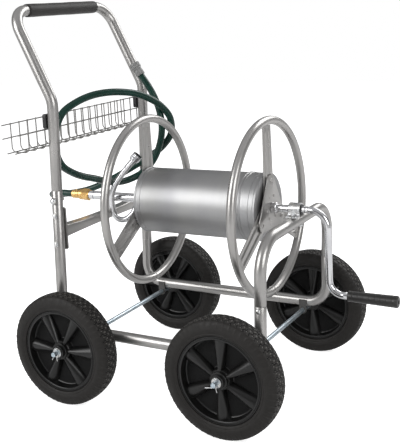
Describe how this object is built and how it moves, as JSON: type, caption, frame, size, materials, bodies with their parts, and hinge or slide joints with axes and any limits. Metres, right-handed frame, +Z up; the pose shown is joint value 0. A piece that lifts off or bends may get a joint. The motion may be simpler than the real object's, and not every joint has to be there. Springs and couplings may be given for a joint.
{
  "type": "garden_hose_reel_cart",
  "caption": "Four-wheeled garden hose reel cart: silver steel tube frame, crank-turned open reel, push handle with foam grip, wire basket and short leader hose",
  "frame": {"origin": "on the floor under the middle of the cart's bounding box, measured without the leader hose", "axes": "+X is the rolling direction from the push handle to the crank, +Y points across the cart from the near wheels to the far wheels, +Z is up"},
  "size_m": [0.9202, 0.598, 0.8885],
  "materials": {
    "frame_paint": "satin silver metallic paint on steel tube",
    "reel_paint": "satin silver metallic paint on pressed steel",
    "drum_sheet": "smooth rolled sheet, lightly brushed round the drum",
    "chrome": "bright plated",
    "zinc": "bright zinc plated",
    "wire_coat": "silver coated wire",
    "brass": "machined, slightly satin",
    "foam": "closed-cell foam sleeve",
    "tyre": "matt black rubber",
    "black_plastic": "moulded, fine satin",
    "hose_vinyl": "glossy dark green vinyl hose",
    "grey_plastic": "moulded light grey plastic"
  },
  "bodies": {
    "frame": {"near_side_tube": "frame_paint", "far_side_tube": "frame_paint", "front_arch_tube": "frame_paint", "handle_tube": "frame_paint", "handle_grip": "foam", "rear_cross_beam": "frame_paint", "rear_axle": "zinc", "front_axle": "zinc", "handle_bolt_near": "zinc", "handle_bolt_far": "zinc", "beam_bolt_near_lower": "zinc", "beam_bolt_near_upper": "zinc", "beam_bolt_far_lower": "zinc", "beam_bolt_far_upper": "zinc", "saddle_strap": "zinc", "saddle_bolt_near": "zinc", "saddle_bolt_far": "zinc", "shaft_bush": "black_plastic", "wire_basket": "wire_coat", "basket_clip_near": "black_plastic", "basket_clip_far": "black_plastic", "swivel_inlet": "chrome", "brass_connector": "brass", "leader_hose": "hose_vinyl", "hose_coupling": "grey_plastic", "rear_near_axle_plate": "zinc", "rear_near_split_pin": "zinc", "rear_far_axle_plate": "zinc", "rear_far_split_pin": "zinc", "front_near_axle_plate": "zinc", "front_near_split_pin": "zinc", "front_far_axle_plate": "zinc", "front_far_split_pin": "zinc"},
    "reel": {"drum_shell": "drum_sheet", "drum_end_rear": "drum_sheet", "drum_end_front": "drum_sheet", "rear_ring": "reel_paint", "front_ring": "reel_paint", "rear_spoke_1": "reel_paint", "rear_spoke_2": "reel_paint", "rear_spoke_3": "reel_paint", "front_spoke_1": "reel_paint", "front_spoke_2": "reel_paint", "front_spoke_3": "reel_paint", "rear_hub_plate": "reel_paint", "front_hub_plate": "reel_paint", "front_shaft": "chrome", "reel_spindle": "chrome", "gooseneck_pipe": "chrome", "gooseneck_nut": "chrome", "crank_arm": "chrome"},
    "crank_handle": {"crank_grip": "black_plastic"},
    "rear_near_wheel": {"rear_near_tyre": "tyre", "rear_near_rim": "black_plastic"},
    "rear_far_wheel": {"rear_far_tyre": "tyre", "rear_far_rim": "black_plastic"},
    "front_near_wheel": {"front_near_tyre": "tyre", "front_near_rim": "black_plastic"},
    "front_far_wheel": {"front_far_tyre": "tyre", "front_far_rim": "black_plastic"}
  },
  "joints": [
    {"name": "reel_spin", "type": "hinge", "parent": "frame", "child": "reel", "pos_m": [-0.0235, 0, 0.418], "axis": [1, 0, 0], "continuous": true},
    {"name": "crank_grip_spin", "type": "hinge", "parent": "reel", "child": "crank_handle", "pos_m": [0.3015, 0, 0.237], "axis": [1, 0, 0], "continuous": true},
    {"name": "rear_near_wheel_spin", "type": "hinge", "parent": "frame", "child": "rear_near_wheel", "pos_m": [-0.264, -0.252, 0.12639], "axis": [0, 1, 0], "continuous": true},
    {"name": "rear_far_wheel_spin", "type": "hinge", "parent": "frame", "child": "rear_far_wheel", "pos_m": [-0.264, 0.252, 0.12639], "axis": [0, 1, 0], "continuous": true},
    {"name": "front_near_wheel_spin", "type": "hinge", "parent": "frame", "child": "front_near_wheel", "pos_m": [0.128, -0.252, 0.12639], "axis": [0, 1, 0], "continuous": true},
    {"name": "front_far_wheel_spin", "type": "hinge", "parent": "frame", "child": "front_far_wheel", "pos_m": [0.128, 0.252, 0.12639], "axis": [0, 1, 0], "continuous": true}
  ]
}
